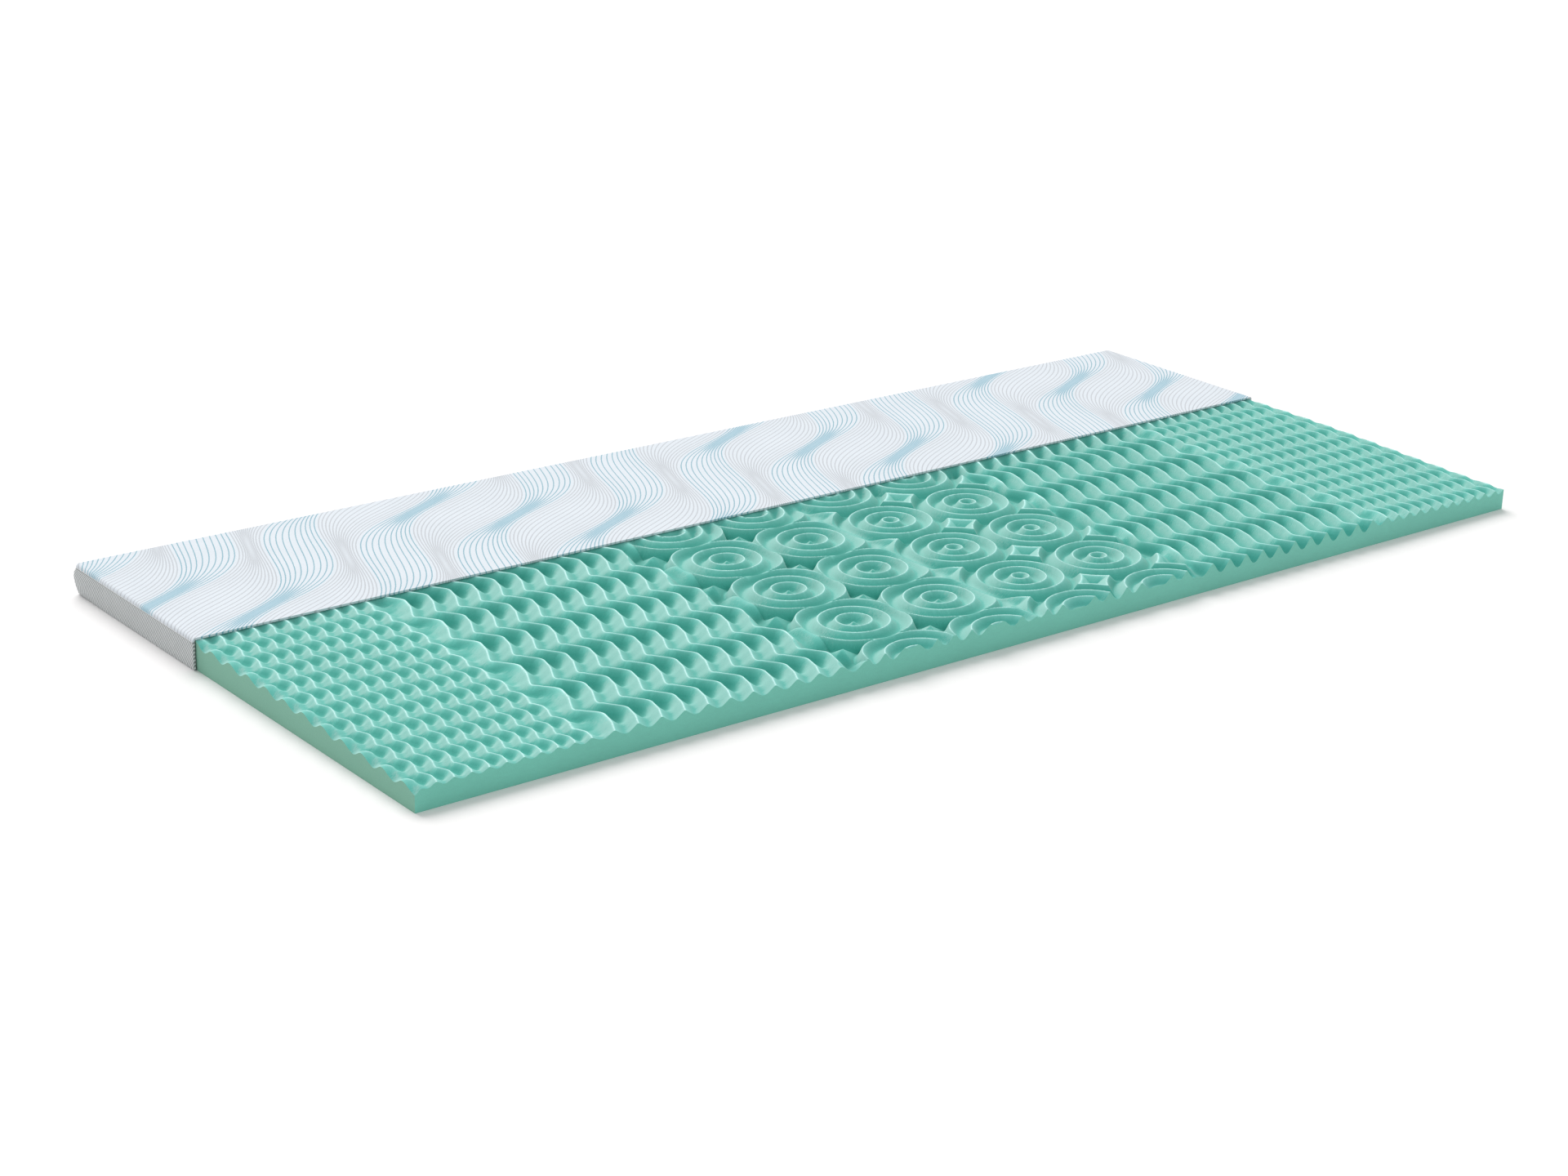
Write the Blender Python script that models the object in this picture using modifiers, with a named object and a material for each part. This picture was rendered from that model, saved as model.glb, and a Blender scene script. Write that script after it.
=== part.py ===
"""Mattress topper, 90 x 200 cm, its cover cut back to show the zoned foam core.

A slab of soft foam is contour-cut on top: fine zigzag ridges at both ends, wide zigzag
ridges next to them and four columns of rings in the middle. The cover lies over the back
strip of the slab only: a knit top panel, and a ribbed side band sewn to its rim.

Metres, +Z up. The underside lies on z = 0 and the origin is under the middle of the whole.
Places on the slab are written as `along`, measured from its left end, and `across`, measured
from its front edge.
"""

from collections import namedtuple
from math import acos, ceil, cos, floor, hypot, pi, sin, sqrt

import bmesh
import bpy
from mathutils import Vector
from mathutils.geometry import delaunay_2d_cdt

# The slab
LENGTH = 2.000
WIDTH = 0.900
CREST_HEIGHT = 0.0430

# The cover
COVER_CUT = 0.5505  # across, where the cover is cut off
CLOTH = 0.0030
GAP = 0.0003
SIDE_SLACK = 0.0021  # the band and the rim stand off the slab's sides by this much
SEAM_HEIGHT = 0.0405
RIM_RADIUS = 0.0050
COVER_CORNER_RADIUS = 0.0070

# The back corners are soft: the band swells there and tucks the slab's foot in.
CornerRow = namedtuple("CornerRow", "height outward")
CORNER_SWELL = (
    CornerRow(0.0000, -0.0020),
    CornerRow(0.0070, 0.0005),
    CornerRow(0.0160, 0.0030),
    CornerRow(0.0270, 0.0045),
    CornerRow(0.0345, 0.0036),
    CornerRow(SEAM_HEIGHT, 0.0000),
)
CORNER_REACH = 0.090
REACH_STEPS = 3

# Under the cover the relief runs on a little way and then levels out.
RELIEF_END = 0.585
LEVEL_START = 0.600

# Kinks, waves and rings all repeat across the slab in steps of this base length.
BASE_REPEAT = 0.048
# A crest line runs slowly back to the left over this share of its zigzag, seen from a kink
# that points right towards the front edge, and faster to the right over the rest.
SLOW_SHARE = 0.585

RidgeZone = namedtuple("RidgeZone", "first pitch ridges period swing kink drift depth")
# first: along, mean line of the zone's first crest; swing: width of the zigzag;
# kink: across, a kink of the first crest that points right; drift: shift of that kink
# from each crest to the next.
FINE_LEFT = RidgeZone(0.0060, 0.0249, 11, BASE_REPEAT, 0.0072, 0.0197, 0.0000, 0.0105)
WIDE_LEFT = RidgeZone(0.2947, 0.0362, 11, 2 * BASE_REPEAT, 0.0232, 0.0491, 0.0000, 0.0165)
WIDE_RIGHT = RidgeZone(1.3368, 0.0356, 11, 2 * BASE_REPEAT, 0.0230, 0.0965, -0.0018, 0.0165)
FINE_RIGHT = RidgeZone(1.7275, 0.0251, 11, BASE_REPEAT, 0.0072, 0.0272, -0.0010, 0.0115)

# The crests sink a little towards the front edge, most of all near its two ends.
SinkRow = namedtuple("SinkRow", "along sink")
FRONT_SINK = (
    SinkRow(0.000, 0.0085),
    SinkRow(0.260, 0.0065),
    SinkRow(0.300, 0.0028),
    SinkRow(1.000, 0.0018),
    SinkRow(1.700, 0.0018),
    SinkRow(1.740, 0.0036),
    SinkRow(LENGTH, 0.0095),
)
SINK_REACH = 0.450  # across, where the crests are at their full height

# Runs between two zones: one straight trough halfway
TROUGH_LEFT = 0.2725
TROUGH_RIGHT = 1.7090
END_TROUGH_DEPTH = 0.0110
RING_TROUGH_LEFT = 0.6770
RING_TROUGH_RIGHT = 1.3190
RING_TROUGH_DEPTH = 0.0120

# Rings: each sits in its own cell, and its waves are ellipses of the cell's proportions.
RING_COLUMNS = 4
RING_PITCH_ALONG = 0.1534
RING_PITCH_ACROSS = 3 * BASE_REPEAT
FIRST_RING_ALONG = 0.7720
FIRST_RING_ACROSS = -0.0214
WAVES_PER_CELL = 3  # from a cell's middle to the middle of its side
RING_DEPTH = 0.0125
PIT_DEPTH = 0.0190  # in the corners between four cells
MIDDLE_KNOB_DROP = 0.0050  # the knob in a ring's middle is lower than the crests
CHANGED_COLUMN = 2  # from this column on the waves start half a wave later

LAST_WAVE_LEVEL = 8  # in steps of half a wave, the last one that fits a cell's corner
CIRCLE_STEPS = (0, 8, 16, 20, 24, 28, 32)  # points on each whole wave line, by level
CORNER_STEPS = 5  # points on each wave line that runs across a cell's corner only

CELL_HALF_ALONG = RING_PITCH_ALONG / 2
CELL_HALF_ACROSS = RING_PITCH_ACROSS / 2
RINGS_START = FIRST_RING_ALONG - CELL_HALF_ALONG
RINGS_END = RINGS_START + RING_COLUMNS * RING_PITCH_ALONG

MIDDLE_ALONG = LENGTH / 2
COVER_BACK = WIDTH + SIDE_SLACK + CLOTH
SWELL_BACK = 0.7 * max(row.outward for row in CORNER_SWELL)
MIDDLE_ACROSS = (COVER_BACK + SWELL_BACK) / 2
SAME_POINT = 1e-5


# ---- relief of the slab ---------------------------------------------------------------

def zigzag(across, zone, crest):
    """Sideways shift of a zone's crest line, a straight-sided zigzag."""
    turn = (zone.kink + crest * zone.drift - across) / zone.period
    share = turn - floor(turn)
    if share < SLOW_SHARE:
        return zone.swing * (0.5 - share / SLOW_SHARE)
    return zone.swing * ((share - SLOW_SHARE) / (1 - SLOW_SHARE) - 0.5)


def kinks(kink, period):
    """Where the kinks of a crest line lie across the slab, from before its front edge on."""
    first_turn = floor((0 - kink) / period) - 1
    places = []
    for turn in range(first_turn, first_turn + ceil(WIDTH / period) + 3):
        places += [kink + turn * period, kink + (turn + 1 - SLOW_SHARE) * period]
    return places


def line_along(zone, crest, across):
    """Place of a crest line, or of the valley after it for a crest of k + 0.5."""
    return zone.first + crest * zone.pitch + zigzag(across, zone, crest)


def zone_depth(along, across, zone):
    """Depth below the crests inside a ridge zone, straight from crest to valley."""
    low, high = -1, zone.ridges
    crest = (along - zone.first) / zone.pitch
    for _ in range(4):
        crest = (along - zone.first - zigzag(across, zone, crest)) / zone.pitch
    crest = min(max(crest, low), high)
    return zone.depth * 2 * abs(crest - floor(crest + 0.5))


def ring_cell(along, across):
    """Column of the cell, and the place in it as shares of the cell's half sizes."""
    column = min(max(floor((along - RINGS_START) / RING_PITCH_ALONG), 0), RING_COLUMNS - 1)
    row = floor((across - FIRST_RING_ACROSS) / RING_PITCH_ACROSS + 0.5)
    share_along = (along - FIRST_RING_ALONG - column * RING_PITCH_ALONG) / CELL_HALF_ALONG
    share_across = (across - FIRST_RING_ACROSS - row * RING_PITCH_ACROSS) / CELL_HALF_ACROSS
    return column, share_along, share_across


def wave_depth(radius, lag):
    """Depth of a ring's waves; radius is 1 at the middle of the cell's sides."""
    wave = WAVES_PER_CELL * radius - lag
    below = 2 * abs(wave - floor(wave + 0.5))
    corner = min(max(radius - 1, 0) / (sqrt(2) - 1), 1)
    depth = below * (RING_DEPTH + (PIT_DEPTH - RING_DEPTH) * corner)
    if lag == 0 and wave < 0.5:
        depth += MIDDLE_KNOB_DROP * (1 - 2 * wave)
    return depth


def ring_depth(along, across):
    column, share_along, share_across = ring_cell(along, across)
    radius = hypot(share_along, share_across)
    change_line = RINGS_START + CHANGED_COLUMN * RING_PITCH_ALONG
    if abs(along - change_line) < SAME_POINT:
        return (wave_depth(radius, 0) + wave_depth(radius, 0.5)) / 2
    return wave_depth(radius, 0 if column < CHANGED_COLUMN else 0.5)


def between(place, start, start_value, end, end_value):
    share = (place - start) / (end - start)
    return start_value + share * (end_value - start_value)


def run_depth(along, start, trough, trough_depth, end, start_depth=0.0, end_depth=0.0):
    """Depth in a run between two zones, down to its trough and up again."""
    if along < trough:
        return between(along, start, start_depth, trough, trough_depth)
    return between(along, trough, trough_depth, end, end_depth)


def relief_depth(along, across):
    """Depth of the cut surface below the crests."""
    last_fine = line_along(FINE_LEFT, FINE_LEFT.ridges - 1, across)
    first_wide = line_along(WIDE_LEFT, 0, across)
    last_wide = line_along(WIDE_LEFT, WIDE_LEFT.ridges - 1, across)
    first_wide_right = line_along(WIDE_RIGHT, 0, across)
    last_wide_right = line_along(WIDE_RIGHT, WIDE_RIGHT.ridges - 1, across)
    first_fine_right = line_along(FINE_RIGHT, 0, across)
    if along < last_fine:
        depth = zone_depth(along, across, FINE_LEFT)
    elif along < first_wide:
        depth = run_depth(along, last_fine, TROUGH_LEFT, END_TROUGH_DEPTH, first_wide)
    elif along < last_wide:
        depth = zone_depth(along, across, WIDE_LEFT)
    elif along < RINGS_START:
        rise_to = ring_depth(RINGS_START, across)
        depth = run_depth(
            along, last_wide, RING_TROUGH_LEFT, RING_TROUGH_DEPTH, RINGS_START, end_depth=rise_to
        )
    elif along <= RINGS_END:
        depth = ring_depth(along, across)
    elif along < first_wide_right:
        rise_from = ring_depth(RINGS_END, across)
        depth = run_depth(
            along, RINGS_END, RING_TROUGH_RIGHT, (rise_from + RING_TROUGH_DEPTH) / 2,
            first_wide_right, start_depth=rise_from
        )
    elif along < last_wide_right:
        depth = zone_depth(along, across, WIDE_RIGHT)
    elif along < first_fine_right:
        depth = run_depth(
            along, last_wide_right, TROUGH_RIGHT, END_TROUGH_DEPTH, first_fine_right
        )
    else:
        depth = zone_depth(along, across, FINE_RIGHT)
    level = (LEVEL_START - across) / (LEVEL_START - RELIEF_END)
    return depth * min(max(level, 0), 1)


def front_sink(along, across):
    share = min(max(1 - across / SINK_REACH, 0), 1)
    for left, right in zip(FRONT_SINK, FRONT_SINK[1:]):
        if along <= right.along:
            sink = between(along, left.along, left.sink, right.along, right.sink)
            return sink * share * share * (3 - 2 * share)
    return 0.0


# ---- lines of the relief: the slab's mesh has its points on them ------------------------

def along_line(start, end, share):
    return start[0] + share * (end[0] - start[0]), start[1] + share * (end[1] - start[1])


def on_limit(place):
    """Puts a point that is as good as on the front edge or on RELIEF_END exactly there."""
    for limit in (0.0, RELIEF_END):
        if abs(place[1] - limit) < SAME_POINT:
            return place[0], limit
    return place


def clipped(line):
    """The stretches of a line of points that lie between the front edge and RELIEF_END."""
    stretches, stretch = [], []
    for start, end in zip(line, line[1:]):
        shares = [0.0, 1.0]
        for limit in (0.0, RELIEF_END):
            if (start[1] - limit) * (end[1] - limit) < 0:
                shares.append((limit - start[1]) / (end[1] - start[1]))
        shares.sort()
        for low, high in zip(shares, shares[1:]):
            ends = [on_limit(along_line(start, end, share)) for share in (low, high)]
            middle = (ends[0][1] + ends[1][1]) / 2
            if 0 < middle < RELIEF_END:
                stretch = stretch or [ends[0]]
                stretch.append(ends[1])
            elif stretch:
                stretches.append(stretch)
                stretch = []
    if stretch:
        stretches.append(stretch)
    return stretches


def ridge_lines(zone):
    """Every crest and valley line of a zone, with a point at each kink."""
    lines = []
    for half in range(2 * zone.ridges - 1):
        crest = half / 2
        places = kinks(zone.kink + crest * zone.drift, zone.period)
        lines.append([(line_along(zone, crest, across), across) for across in places])
    return lines


def end_lines():
    """The slab's two end edges and the last valley, with a point at each kink."""
    left = [(0.0, across) for across in kinks(FINE_LEFT.kink, BASE_REPEAT)]
    past = FINE_RIGHT.ridges
    right_kink = FINE_RIGHT.kink + past * FINE_RIGHT.drift
    right = [(LENGTH, across) for across in kinks(right_kink, BASE_REPEAT)]
    valley_kink = FINE_RIGHT.kink + (past - 0.5) * FINE_RIGHT.drift
    valley = [
        (line_along(FINE_RIGHT, past - 0.5, across), across)
        for across in kinks(valley_kink, BASE_REPEAT)
    ]
    return [left, right, valley]


def trough_lines():
    lines = []
    for along in (TROUGH_LEFT, TROUGH_RIGHT, RING_TROUGH_LEFT, RING_TROUGH_RIGHT):
        steps = ceil(WIDTH / BASE_REPEAT) * 2
        lines.append([(along, (step - 1) * BASE_REPEAT / 2) for step in range(steps)])
    return lines


def cell_point(centre, share_along, share_across):
    return (
        centre[0] + share_along * CELL_HALF_ALONG,
        centre[1] + share_across * CELL_HALF_ACROSS,
    )


def wave_lines(centre):
    """A cell's crest and valley lines: whole ellipses, and arcs across its corners."""
    lines = []
    for level in range(1, LAST_WAVE_LEVEL + 1):
        radius = level / (2 * WAVES_PER_CELL)
        if radius <= 1:
            steps = CIRCLE_STEPS[level]
            angles = [2 * pi * step / steps for step in range(steps + 1)]
            lines.append([cell_point(centre, radius * cos(a), radius * sin(a)) for a in angles])
            continue
        first = acos(1 / radius)
        span = pi / 2 - 2 * first
        for quarter in range(4):
            angles = [
                quarter * pi / 2 + first + span * step / (CORNER_STEPS - 1)
                for step in range(CORNER_STEPS)
            ]
            lines.append([cell_point(centre, radius * cos(a), radius * sin(a)) for a in angles])
    return lines


def cell_sides(centre):
    """A cell's four sides, with a point wherever a wave line meets them."""
    shares = [0.0, 1.0]
    for level in range(2 * WAVES_PER_CELL + 1, LAST_WAVE_LEVEL + 1):
        shares.append(sqrt((level / (2 * WAVES_PER_CELL)) ** 2 - 1))
    shares = sorted({-s for s in shares} | set(shares))
    sides = []
    for side in (-1, 1):
        sides.append([cell_point(centre, side, share) for share in shares])
        sides.append([cell_point(centre, share, side) for share in shares])
    return sides


def ring_lines():
    lines = []
    rows = ceil((RELIEF_END - FIRST_RING_ACROSS) / RING_PITCH_ACROSS) + 1
    for column in range(RING_COLUMNS):
        for row in range(rows):
            centre = (
                FIRST_RING_ALONG + column * RING_PITCH_ALONG,
                FIRST_RING_ACROSS + row * RING_PITCH_ACROSS,
            )
            if 0 < centre[1] < RELIEF_END:
                lines.append([centre, cell_point(centre, 1 / (2 * WAVES_PER_CELL), 0)])
            lines += wave_lines(centre) + cell_sides(centre)
    return lines


def level_strip():
    """The slab's level back strip: its front line, and its outline with points near the corners."""
    line = [(LENGTH * step / 20, LEVEL_START) for step in range(21)]
    steps = [CORNER_REACH * step / REACH_STEPS for step in range(REACH_STEPS + 1)]
    left = [(0.0, WIDTH - step) for step in reversed(steps)] + [(step, WIDTH) for step in steps]
    right = [(LENGTH - along, across) for along, across in left]
    return [line, left, right]


# ---- pieces ---------------------------------------------------------------------------

def in_frame(along, across, height):
    return Vector((along - MIDDLE_ALONG, across - MIDDLE_ACROSS, height))


def swell_corners(mesh_points):
    """Moves the points near the two back corners outward or inward, by their height."""
    for point in mesh_points:
        side = 1 if point.co.x > 0 else -1
        corner = Vector((side * LENGTH / 2, WIDTH - MIDDLE_ACROSS))
        share = max(1 - (point.co.xy - corner).length / CORNER_REACH, 0)
        share = share * share * (3 - 2 * share) / sqrt(2)
        for low, high in zip(CORNER_SWELL, CORNER_SWELL[1:]):
            if low.height <= point.co.z <= high.height:
                move = share * between(
                    point.co.z, low.height, low.outward, high.height, high.outward
                )
                point.co.x += side * move
                point.co.y += move
                break


def finish(name, mesh, colour, roughness):
    material = bpy.data.materials.new(name)
    material.use_nodes = True
    surface = material.node_tree.nodes["Principled BSDF"]
    surface.inputs["Base Color"].default_value = (*colour, 1.0)
    surface.inputs["Roughness"].default_value = roughness
    surface.inputs["Metallic"].default_value = 0.0
    mesh.materials.clear()
    mesh.materials.append(material)
    made = bpy.data.objects.new(name, mesh)
    collection.objects.link(made)
    return made


def foam_core():
    """The slab: a net of triangles over the relief's lines, walled down to a flat base."""
    points, edges = [], []
    lines = end_lines() + trough_lines() + ring_lines()
    for zone in (FINE_LEFT, WIDE_LEFT, WIDE_RIGHT, FINE_RIGHT):
        lines += ridge_lines(zone)
    stretches = [stretch for line in lines for stretch in clipped(line)]
    stretches += level_strip()
    stretches += [[(0.0, 0.0), (0.0, RELIEF_END)], [(LENGTH, 0.0), (LENGTH, RELIEF_END)]]
    stretches += [[(0.0, across), (LENGTH, across)] for across in (0.0, RELIEF_END)]
    for stretch in stretches:
        first = len(points)
        points += [Vector(place) for place in stretch]
        edges += [(first + step, first + step + 1) for step in range(len(stretch) - 1)]
    net, _, triangles, *_ = delaunay_2d_cdt(points, edges, [], 0, SAME_POINT, False)

    work = bmesh.new()
    corners = []
    for place in net:
        depth = relief_depth(place.x, place.y) + front_sink(place.x, place.y)
        corners.append(work.verts.new(in_frame(place.x, place.y, CREST_HEIGHT - depth)))
    for triangle in triangles:
        work.faces.new([corners[i] for i in triangle])
    bmesh.ops.recalc_face_normals(work, faces=work.faces)
    rim = [edge for edge in work.edges if edge.is_boundary]
    walls = bmesh.ops.extrude_edge_only(work, edges=rim)["geom"]
    feet = [item for item in walls if isinstance(item, bmesh.types.BMVert)]
    for foot in feet:
        foot.co.z = 0
    swell_corners(feet)
    base_edges = [edge for edge in work.edges if edge.is_boundary]
    bmesh.ops.edgeloop_fill(work, edges=base_edges)
    bmesh.ops.recalc_face_normals(work, faces=work.faces)
    mesh = bpy.data.meshes.new("foam_core")
    work.to_mesh(mesh)
    work.free()
    return finish("foam_core", mesh, (0.17, 0.55, 0.45), 0.85)


def cover_box(low, high):
    """A box of the cover's outside, from the cut to the back, between two heights."""
    work = bmesh.new()
    bmesh.ops.create_cube(work, size=1.0)
    length = LENGTH + 2 * (SIDE_SLACK + CLOTH)
    middle = in_frame(MIDDLE_ALONG, (COVER_CUT + COVER_BACK) / 2, (low + high) / 2)
    for corner in work.verts:
        corner.co.x = corner.co.x * length
        corner.co.y = corner.co.y * (COVER_BACK - COVER_CUT)
        corner.co.z = corner.co.z * (high - low)
        corner.co += middle
    return work


def is_upright(edge):
    return abs(edge.verts[0].co.z - edge.verts[1].co.z) > SAME_POINT


def round_back_corners(work):
    """Rounds the box's two upright back edges."""
    back = max(corner.co.y for corner in work.verts)
    edges = [
        edge for edge in work.edges
        if is_upright(edge) and all(back - v.co.y < SAME_POINT for v in edge.verts)
    ]
    bmesh.ops.bevel(
        work, geom=edges, offset=COVER_CORNER_RADIUS, segments=5, affect="EDGES", profile=0.5
    )


def open_faces(work, directions):
    """Takes away the faces that look exactly one of these ways."""
    work.normal_update()
    gone = [f for f in work.faces if any(f.normal.dot(d) > 0.999 for d in directions)]
    bmesh.ops.delete(work, geom=gone, context="FACES")


def thickened(name, work, colour, roughness):
    mesh = bpy.data.meshes.new(name)
    work.to_mesh(mesh)
    work.free()
    cloth = finish(name, mesh, colour, roughness)
    wall = cloth.modifiers.new("cloth", "SOLIDIFY")
    wall.thickness = CLOTH
    wall.offset = -1
    wall.use_even_offset = True
    return cloth


def cover_top():
    """The top panel: flat on the crests, its rim turned down to the seam on three sides."""
    work = cover_box(SEAM_HEIGHT + GAP, CREST_HEIGHT + GAP + CLOTH)
    round_back_corners(work)
    open_faces(work, [Vector((0, 0, -1)), Vector((0, -1, 0))])
    top = max(corner.co.z for corner in work.verts)
    front = min(corner.co.y for corner in work.verts)
    rim = [
        edge for edge in work.edges
        if all(top - v.co.z < SAME_POINT for v in edge.verts)
        and any(v.co.y - front > SAME_POINT for v in edge.verts)
        and not edge.is_boundary
    ]
    bmesh.ops.bevel(work, geom=rim, offset=RIM_RADIUS, segments=4, affect="EDGES", profile=0.5)
    return thickened("cover_top", work, (0.80, 0.83, 0.88), 0.85)


def cover_band():
    """The side band: a U of ribbed knit from the floor to the seam, its lower edge soft."""
    work = cover_box(0.0, SEAM_HEIGHT)
    round_back_corners(work)
    open_faces(work, [Vector((0, 0, -1)), Vector((0, 0, 1)), Vector((0, -1, 0))])
    for row in CORNER_SWELL[1:-1]:
        bmesh.ops.bisect_plane(
            work, geom=work.verts[:] + work.edges[:] + work.faces[:],
            plane_co=(0, 0, row.height), plane_no=(0, 0, 1)
        )
    long_edges = [e for e in work.edges if e.calc_length() > CORNER_REACH]
    bmesh.ops.subdivide_edges(work, edges=long_edges, cuts=24)
    swell_corners(work.verts)
    return thickened("cover_band", work, (0.62, 0.65, 0.66), 0.90)


for old in list(bpy.data.objects):
    bpy.data.objects.remove(old, do_unlink=True)
collection = bpy.data.collections.new("mattress_topper")
bpy.context.scene.collection.children.link(collection)

foam_core()
cover_top()
cover_band()
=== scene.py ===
"""Mattress topper: a contour-cut foam slab, its knit cover cut back to a strip along the back.

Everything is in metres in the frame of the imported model: X along the slab, Y across it
towards the covered side, Z up, the floor at zero.
"""

from math import ceil, pi, radians

import bpy
import numpy as np
from mathutils import Euler, Matrix, Vector


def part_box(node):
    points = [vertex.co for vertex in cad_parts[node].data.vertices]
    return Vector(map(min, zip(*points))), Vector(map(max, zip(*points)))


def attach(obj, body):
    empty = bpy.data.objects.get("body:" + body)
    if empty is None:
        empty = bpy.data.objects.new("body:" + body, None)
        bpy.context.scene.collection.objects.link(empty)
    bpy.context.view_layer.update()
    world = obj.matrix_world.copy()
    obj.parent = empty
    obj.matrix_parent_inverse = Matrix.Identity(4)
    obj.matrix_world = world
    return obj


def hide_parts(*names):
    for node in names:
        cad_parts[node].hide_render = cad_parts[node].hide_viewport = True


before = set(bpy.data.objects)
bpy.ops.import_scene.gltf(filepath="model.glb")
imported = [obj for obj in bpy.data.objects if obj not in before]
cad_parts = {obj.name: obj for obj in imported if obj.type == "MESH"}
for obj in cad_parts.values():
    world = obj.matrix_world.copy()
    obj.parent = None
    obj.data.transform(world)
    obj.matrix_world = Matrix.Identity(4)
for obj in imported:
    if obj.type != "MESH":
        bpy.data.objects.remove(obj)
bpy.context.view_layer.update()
bpy.ops.object.select_all(action="DESELECT")


# ---- foam slab --------------------------------------------------------------------------
# One slab of soft mint-green foam. A wire has cut its top into zones: fine zigzag ridges at
# both ends, wide zigzag ridges next to them, and four columns of rings in the middle.

slab_low, slab_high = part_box("foam_core")
SLAB_LENGTH = slab_high.x - slab_low.x
SLAB_WIDTH = slab_high.y - slab_low.y
CREST_HEIGHT = slab_high.z
BASE_REPEAT = 0.048

# One zigzag from a kink that points right towards the front: share of its length, sideways.
CREST_WAVE = ((0.00, 1.00), (0.10, 0.80), (0.30, 0.28), (0.44, -0.25), (0.54, -0.75),
              (0.62, -1.00), (0.70, -0.84), (0.80, -0.36), (0.91, 0.45))

# Crests of a zone: along of the first one, distance to the next, how many, length of a
# zigzag, its width, across of a kink that points right, that kink's shift per crest, depth,
# how far the kinks are eased, and how strong its necks are.
FINE_LEFT = dict(first=0.0060, pitch=0.0249, crests=11, repeat=BASE_REPEAT, swing=0.0072,
                 kink=0.0197, drift=0.0, depth=0.0105, ease=0.024, necks=0.95)
WIDE_LEFT = dict(first=0.2947, pitch=0.0362, crests=11, repeat=2 * BASE_REPEAT, swing=0.0212,
                 kink=0.0491, drift=0.0, depth=0.0165, ease=0.020, necks=0.85)
WIDE_RIGHT = dict(first=1.3368, pitch=0.0356, crests=11, repeat=2 * BASE_REPEAT, swing=0.0200,
                  kink=0.0965, drift=-0.0018, depth=0.0165, ease=0.020, necks=0.28)
FINE_RIGHT = dict(first=1.7275, pitch=0.0251, crests=11, repeat=BASE_REPEAT, swing=0.0072,
                  kink=0.0272, drift=-0.0010, depth=0.0115, ease=0.024, necks=0.55)
ZIGZAG_ZONES = (FINE_LEFT, WIDE_LEFT, WIDE_RIGHT, FINE_RIGHT)
RUN_DEPTH = 0.0120  # of the trough between a fine zone and a wide one
LEFT_RUN_DEPTH, RIGHT_RUN_DEPTH = 0.011, 0.008  # of those beside the rings

# Between a right kink and the next left kink is a neck: the trough is shallow there, and the
# crest dips at the end of it. Where each lies in the zigzag, its reach, and how much it does.
NECK_SHARE, NECK_REACH, NECK_FILL = 0.39, 0.32, 0.52
NECK_GAIN = 1.4  # above 1, a neck is whole over some of its length
DIP_SHARE, DIP_REACH, DIP = 0.53, 0.23, 0.17

# Share of the depth that is left at the ends of the slab, and the waves of the left end.
END_DEPTH, END_REACH = 0.35, 0.014
END_WAVE, END_WAVE_SHIFT = 0.0095, 0.40

# The crests sink a little towards the front edge, most near its ends: along, how much.
FRONT_SINK = ((0.000, 0.0085), (0.260, 0.0065), (0.300, 0.0028), (1.000, 0.0018),
              (1.700, 0.0018), (1.740, 0.0036), (2.000, 0.0095))
SINK_REACH = 0.450

# The columns of rings. A cell is one ring with its surroundings; reaches and places inside
# it are shares of half a cell. Its corners hold a pit with teeth, or a block with dimples.
RING_COLUMNS = 4
RING_PITCH_ALONG, RING_PITCH_ACROSS = 0.1534, 3 * BASE_REPEAT
FIRST_RING_ALONG, FIRST_RING_ACROSS = 0.7720, -0.0214
RINGS_START = FIRST_RING_ALONG - RING_PITCH_ALONG / 2
RINGS_END = RINGS_START + RING_COLUMNS * RING_PITCH_ALONG
RING_DEPTH, PIT_DEPTH, PIT_REACH = 0.0115, 0.0205, 0.15
RING_WAVES, RING_VALLEY = 3, 0.50
EYE_SHARE, EYE_REACH = 0.35, 0.14  # the dimple in the middle of a cell
SQUARENESS, SQUARE_FROM, SQUARE_OVER = 2.5, 0.60, 0.36  # of the outer rings
TOOTH_REACH, TOOTH_HEIGHT = 0.40, 0.85
DENT, DENT_SIDE, DENT_FROM, DENT_OVER = 0.0030, 0.5, 0.8, 0.2  # where two cells meet
BLOCK_FROM, BLOCK_SLOPE = 1.17, 0.32
BLOCK_DEEP_FROM, BLOCK_DEEP_OVER = 0.95, 0.2
KIND_REACH = 0.022  # either way from the middle, where one kind of cell becomes the other
RING_PAINTED_LIGHT, RING_SHADE_EASE = 0.75, 0.16  # how the rings' colour differs from that of the zigzags: more painted light, less painted shade in their grooves

# The relief ends below the cover, and the foam is level from there to the back.
RELIEF_END, LEVEL_START = 0.538, 0.556


def smooth_step(value):
    value = np.clip(value, 0, 1)
    return value * value * (3 - 2 * value)


def zigzag(zone, crest, across):
    """Sideways shift of a crest line: a wave that is steep in front of its right kinks."""
    share = (zone["kink"] + crest * zone["drift"] - across) / zone["repeat"]
    around = [share + zone["ease"] * step for step in range(-3, 4)]
    wave = np.mean([np.interp(at, *np.array(CREST_WAVE).T, period=1) for at in around], axis=0)
    return zone["swing"] / 2 * wave


def crest_along(zone, crest, across):
    return zone["first"] + crest * zone["pitch"] + zigzag(zone, crest, across)


def front_sink(along, across):
    return np.interp(along, *np.array(FRONT_SINK).T) * smooth_step(1 - across / SINK_REACH)


def neck(zone, crest, across, middle=NECK_SHARE, reach=NECK_REACH):
    """How near a place is to a neck of its zigzag."""
    share = (zone["kink"] + crest * zone["drift"] - across) / zone["repeat"] % 1
    return zone["necks"] * smooth_step(NECK_GAIN * (1 - np.abs(share - middle) / reach))


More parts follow.
